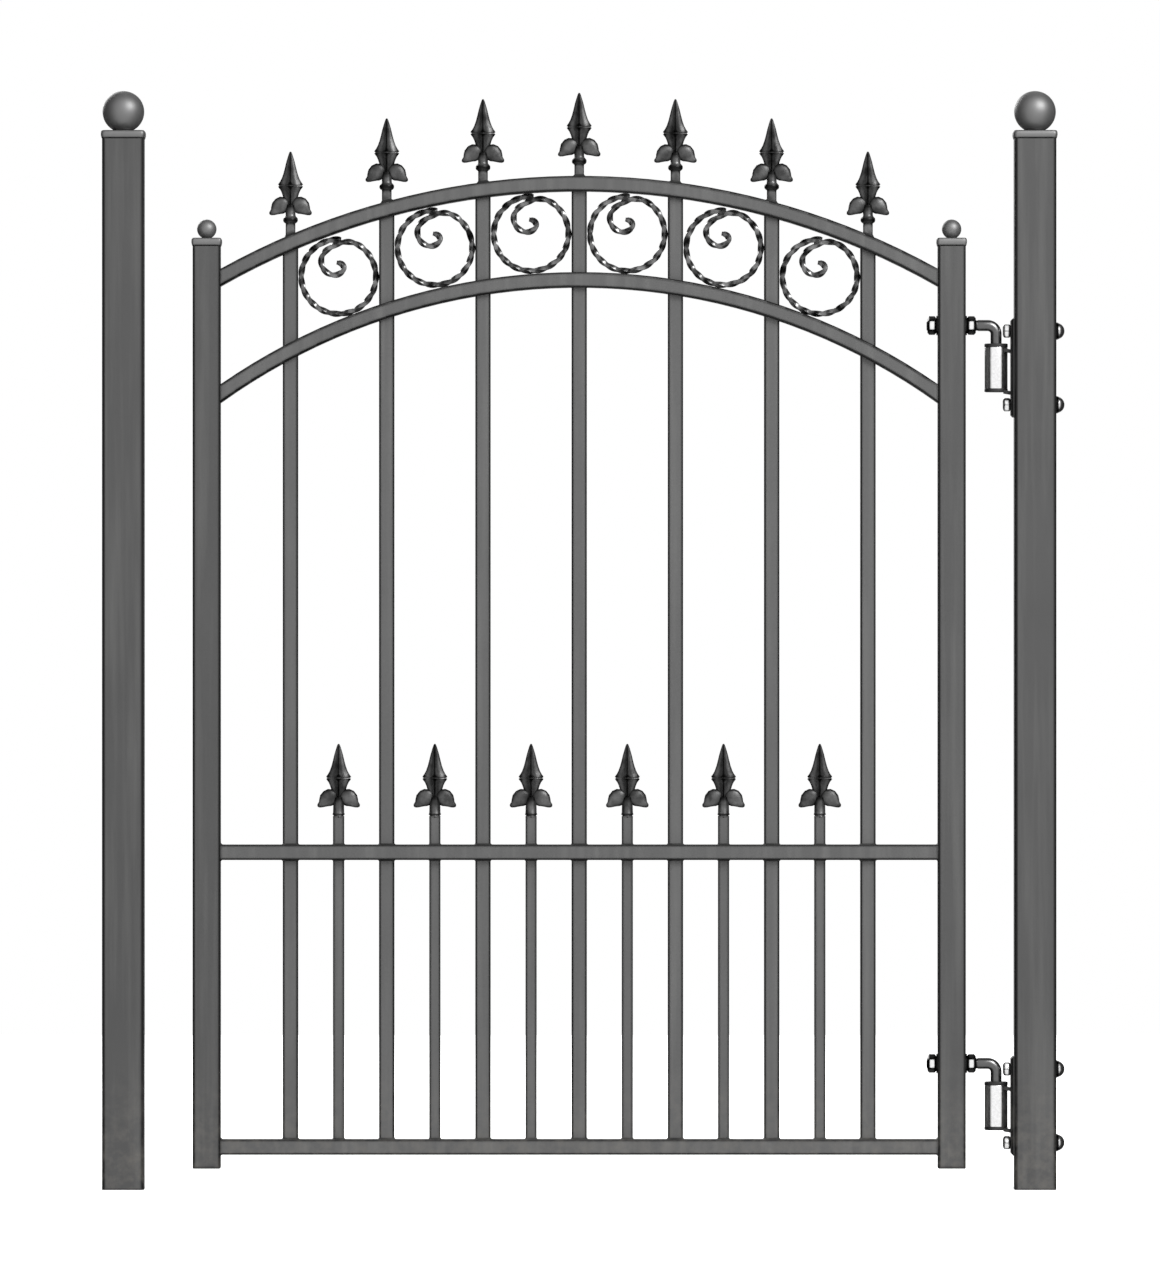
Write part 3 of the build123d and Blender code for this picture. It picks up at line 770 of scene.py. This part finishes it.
def j_bolt(level):
    """A bar with a threaded leg through the stile, a bend, and a plain leg in the barrel."""
    node = f"{level}_j_bolt"
    low, high = node_box(node)
    radius = (high.y - low.y) / 2
    axis_x, leg_z = high.x - radius, high.z - radius
    frames = [frame_at(low.x, 0, leg_z, lean=90, wide=radius - 1.6, deep=radius - 1.6)]
    x = low.x + 1.2
    for i in range(2 * THREAD_TURNS):
        size = radius - (THREAD_DEPTH if i % 2 else 0.05)
        frames.append(frame_at(x, 0, leg_z, lean=90, wide=size, deep=size))
        x += THREAD_PITCH / 2
    frames.append(frame_at(x + 1.0, 0, leg_z, lean=90, wide=radius, deep=radius))
    for i in range(BEND_STEPS + 1):
        angle = 90 * i / BEND_STEPS
        bend_x = axis_x - BOLT_BEND + BOLT_BEND * math.sin(math.radians(angle))
        bend_z = leg_z - BOLT_BEND + BOLT_BEND * math.cos(math.radians(angle))
        frames.append(frame_at(bend_x, 0, bend_z, lean=90 + angle, wide=radius, deep=radius))
    for z, size in ((low.z + BOLT_EASING, radius), (low.z, radius - BOLT_EASING)):
        frames.append(frame_at(axis_x, 0, z, lean=180, wide=size, deep=size))
    bm = bmesh.new()
    loft(bm, round_outline(32), frames)
    finish_piece(bm, f"{level}_hook_bolt", "leaf", BOLT_ZINC, (node,), 28)


POST_BOLT_UP = 53.0  # from a bracket's middle to each of its bolts
DOME_RADIUS = 12.0
DOME_RISE = 10.0
POST_BOLT_RADIUS = 6.0
DOME_STEPS = 12


def post_bolt_heights():
    heights = []
    for level in ("upper", "lower"):
        low, high = node_box(f"{level}_hinge_bracket")
        middle = (low.z + high.z) / 2
        heights += [middle - POST_BOLT_UP, middle + POST_BOLT_UP]
    return heights


def dome_bolts():
    """Dome-headed bolts through the hinge post, their ends just proud of the nuts."""
    bm = bmesh.new()
    low, high = node_box("post_bolts")
    length = high.x - low.x
    dome = (DOME_RADIUS**2 + DOME_RISE**2) / (2 * DOME_RISE)
    under = length - DOME_RISE
    cap = [(0.0, 0.0), (POST_BOLT_RADIUS, 0.0), (POST_BOLT_RADIUS, under)]
    cap += [(DOME_RADIUS - 0.6, under), (DOME_RADIUS, under + 0.7)]
    half_angle = math.asin(DOME_RADIUS / dome)
    for i in range(1, DOME_STEPS + 1):
        angle = half_angle * (1 - i / DOME_STEPS)
        cap.append((dome * math.sin(angle), length - dome + dome * math.cos(angle)))
    for z in post_bolt_heights():
        turned(bm, cap, steps=48, placed=frame_at(low.x, 0, z, lean=90))
    finish_piece(bm, "dome_bolts", "posts", FASTENER_ZINC, ("post_bolts",), 30)


HOOK_NUT_FLATS = 24.0
HOOK_NUT_HEIGHT = 12.8
POST_NUT_FLATS = 19.0
# Share of a nut's height, and of its width there.
NUT_STAGES = (
    (0.0, 0.78),
    (0.17, 0.98),
    (0.22, 1.0),
    (0.4, 1.0),
    (0.6, 1.0),
    (0.78, 1.0),
    (0.83, 0.98),
    (1.0, 0.78),
)


def hex_nuts(name, body, node, places, material):
    """Nuts lying along X corners turned off. places are left face, z, across flats, height and turn."""
    bm = bmesh.new()
    for x, z, flats, height, turn in places:
        frames = []
        for share, size in NUT_STAGES:
            across = size * flats / 2
            frames.append(frame_at(x + share * height, 0, z, lean=90, turn=turn, wide=across, deep=across))
        loft(bm, hex_outline, frames)
    finish_piece(bm, name, body, material, (node,), crease=25)


def all_nuts():
    """The nuts each side of the stile, and those on the post bolts."""
    low, high = node_box("j_bolt_nuts")
    leg_heights = []
    for level in ("upper", "lower"):
        bolt_low, bolt_high = node_box(f"{level}_j_bolt")
        leg_heights.append(bolt_high.z - (bolt_high.y - bolt_low.y) / 2)
    faces = (low.x, high.x - HOOK_NUT_HEIGHT)
    places = [(x, z, HOOK_NUT_FLATS, HOOK_NUT_HEIGHT, 30.0) for z in leg_heights for x in faces]
    hex_nuts("hook_bolt_nuts", "leaf", "j_bolt_nuts", places, NUT_ZINC)
    low, high = node_box("post_bolt_nuts")
    places = [(low.x, z, POST_NUT_FLATS, high.x - low.x, 0.0) for z in post_bolt_heights()]
    hex_nuts("dome_bolt_nuts", "posts", "post_bolt_nuts", places, FASTENER_ZINC)


for level in ("upper", "lower"):
    hinge(level)
    j_bolt(level)
barrel_plugs()
dome_bolts()
all_nuts()


# ---- welds --------------------------------------------------------------------------------------
# Leg of each weld.
TALL_FOOT_WELD = 2.2
TALL_CROSSING_WELD = 1.8
SPEAR_FOOT_WELD = 2.6
SHORT_FOOT_WELD = 2.0
SHORT_CROSSING_WELD = 1.6
RAIL_END_WELD = 2.2


def bead(bm, x, z, half_x, half_y, lean, leg, chance):
    """A fillet weld of size leg round a bar where it meets a face. lean turns the way the bar points."""
    wander = 1 + 0.18 * (chance.random() - 0.5)
    leg *= wander
    stages = (
        (leg, 0.12),
        (0.62 * leg, 0.32 * leg),
        (0.3 * leg, 0.66 * leg),
        (0.0, leg),
        (-0.5, 0.9 * leg),
    )
    frames = []
    for along, out in stages:
        step = Matrix.Translation((0, 0, along)) @ Matrix.Diagonal((half_x + out, half_y + out, 1.0, 1.0))
        frames.append(frame_at(x, 0, z, lean=lean) @ step)
    loft(bm, square_outline(corner=0.22, steps=2), frames)


def weld_beads():
    """Welds of the pickets, tall spears and straight rails. Their sizes wander a little, the same each time."""
    chance = random.Random(7)
    bm = bmesh.new()
    rail_low, rail_high = node_box("bottom_rail")
    mid_low, mid_high = node_box("mid_rail")
    for i in range(1, TALL_COUNT + 1):
        x, half = across_box(f"tall_picket_{i}")
        bead(bm, x, rail_high.z, half, half, 0, TALL_FOOT_WELD, chance)
        bead(bm, x, mid_high.z, half, half, 0, TALL_CROSSING_WELD, chance)
        bead(bm, x, mid_low.z, half, half, 180, TALL_CROSSING_WELD, chance)
    feet = []
    for i in range(1, TALL_COUNT + 1):
        feet.append((across_box(f"tall_spear_{i}")[0], node_box(f"tall_spear_{i}")[0].z))
    for i, (x, z) in enumerate(feet):
        before, after = feet[max(i - 1, 0)], feet[min(i + 1, TALL_COUNT - 1)]
        slope = (after[1] - before[1]) / (after[0] - before[0])
        lean = -math.degrees(math.atan(slope))
        bead(bm, x, z + SHANK * abs(slope), SHANK, SHANK, lean, SPEAR_FOOT_WELD, chance)
    for i in range(1, SHORT_COUNT + 1):
        x, half = across_box(f"short_picket_{i}")
        bead(bm, x, rail_high.z, half, half, 0, SHORT_FOOT_WELD, chance)
        bead(bm, x, mid_high.z, half, half, 0, SHORT_CROSSING_WELD, chance)
        bead(bm, x, mid_low.z, half, half, 180, SHORT_CROSSING_WELD, chance)
    for low, high in ((rail_low, rail_high), (mid_low, mid_high)):
        z, half_z, half_y = (low.z + high.z) / 2, (high.z - low.z) / 2, (high.y - low.y) / 2
        for end, lean in ((low.x, 90), (high.x, -90)):
            bead(bm, end, z, half_z, half_y - 2.4, lean, RAIL_END_WELD, chance)
    finish_piece(bm, "leaf_welds", "leaf", WELD_COAT, (), crease=60)


weld_beads()


# ---- finishes of the pieces kept as they are ------------------------------------------------------
def give(material, *names):
    """Puts a finish on every slot of the named pieces."""
    for name in names:
        for slot in nodes[name].material_slots:
            slot.material = material


give(POST_COAT, "latch_post", "hinge_post")
give(STILE_COAT, "latch_stile", "hinge_stile")
give(RAIL_COAT, "top_arch_rail", "lower_arch_rail", "mid_rail", "bottom_rail")
give(PICKET_COAT, *[f"tall_picket_{i}" for i in range(1, TALL_COUNT + 1)])
give(PICKET_COAT, *[f"short_picket_{i}" for i in range(1, SHORT_COUNT + 1)])
give(BRACKET_COAT, "upper_hinge_bracket", "lower_hinge_bracket")
give(FASTENER_ZINC, "j_bolt_washers", "post_bolt_washers")
give(DISC_BRONZE, "hinge_thrust_discs")
give(FOOT_PLASTIC, "stile_foot_plugs")


# ---- studio -------------------------------------------------------------------------------------
def pale_floor():
    bm = bmesh.new()
    bmesh.ops.create_grid(bm, x_segments=1, y_segments=1, size=8.0)
    mesh = bpy.data.meshes.new("studio_floor")
    bm.to_mesh(mesh)
    bm.free()
    material, tree, shader = new_material("studio_floor")
    shader.inputs["Base Color"].default_value = grey(0.75)
    shader.inputs["Roughness"].default_value = 0.9
    shader.inputs["Specular IOR Level"].default_value = 0.0
    shader.inputs["Emission Color"].default_value = WHITE
    ray = tree.nodes.new("ShaderNodeLightPath")
    glow = math_node(tree, "MULTIPLY", ray.outputs["Is Camera Ray"], 0.75)
    wire(tree, glow, shader.inputs["Emission Strength"])
    mesh.materials.append(material)
    floor = bpy.data.objects.new("studio_floor", mesh)
    bpy.context.scene.collection.objects.link(floor)
    floor.location = (0, 0, -0.0005)
    floor.visible_glossy = False


def studio_world():
    """White to the camera. To the gate: bright in front, softer behind and above, dark at the sides."""
    world = bpy.data.worlds.new("studio")
    bpy.context.scene.world = world
    world.use_nodes = True
    tree = world.node_tree
    place = tree.nodes.new("ShaderNodeTexCoord")
    apart = tree.nodes.new("ShaderNodeSeparateXYZ")
    wire(tree, place.outputs["Generated"], apart.inputs["Vector"])
    flat_x = math_node(tree, "MULTIPLY", apart.outputs["X"], apart.outputs["X"])
    flat_y = math_node(tree, "MULTIPLY", apart.outputs["Y"], apart.outputs["Y"])
    level = math_node(tree, "SQRT", math_node(tree, "ADD", flat_x, flat_y))
    facing = math_node(tree, "DIVIDE", apart.outputs["Y"], math_node(tree, "MAXIMUM", level, 0.001))
    steep = remap(tree, math_node(tree, "ABSOLUTE", apart.outputs["Z"]), 0.98, 0.88, smooth=True)
    front = remap(tree, facing, -0.35, -0.75, 0.0, 0.95, smooth=True)
    back = remap(tree, facing, 0.88, 0.97, 0.0, 0.5, smooth=True)
    walls = math_node(tree, "MULTIPLY", math_node(tree, "ADD", front, back), steep)
    ray = tree.nodes.new("ShaderNodeLightPath")
    diffuse = ray.outputs["Is Diffuse Ray"]
    above = remap(tree, apart.outputs["Z"], 0.35, 0.9, 0.0, 0.6, smooth=True)
    soft = math_node(tree, "MULTIPLY", math_node(tree, "ADD", above, 0.12), diffuse)
    glow = math_node(tree, "ADD", math_node(tree, "ADD", walls, soft), 0.02)
    background = tree.nodes["Background"]
    background.inputs["Color"].default_value = WHITE
    seen = math_node(tree, "MAXIMUM", glow, ray.outputs["Is Camera Ray"])
    wire(tree, seen, background.inputs["Strength"])


def soft_light(name, towards, distance, size, watts):
    """A square soft light looking at the gate's middle from a direction."""
    data = bpy.data.lights.new(name, "AREA")
    data.shape = "SQUARE"
    data.size = size
    data.energy = watts
    light = bpy.data.objects.new(name, data)
    bpy.context.scene.collection.objects.link(light)
    centre = Vector((0, 0, 0.8))
    light.location = centre + Vector(towards).normalized() * distance
    light.rotation_euler = (centre - light.location).to_track_quat("-Z", "Y").to_euler()


def front_camera():
    data = bpy.data.cameras.new("camera")
    data.lens = 400.0
    data.sensor_width = 36.0
    data.clip_end = 100.0
    camera = bpy.data.objects.new("camera", data)
    bpy.context.scene.collection.objects.link(camera)
    camera.location = (0.00115, -20.47, 0.7904)
    camera.rotation_euler = (math.radians(90), 0, 0)
    bpy.context.scene.camera = camera


pale_floor()
studio_world()
soft_light("key_light", (0.5, -0.6, 0.62), 7.0, 3.0, 420.0)
soft_light("back_light", (-0.4, 0.85, 0.4), 7.0, 3.0, 160.0)
front_camera()
bpy.context.scene.view_settings.view_transform = "Standard"
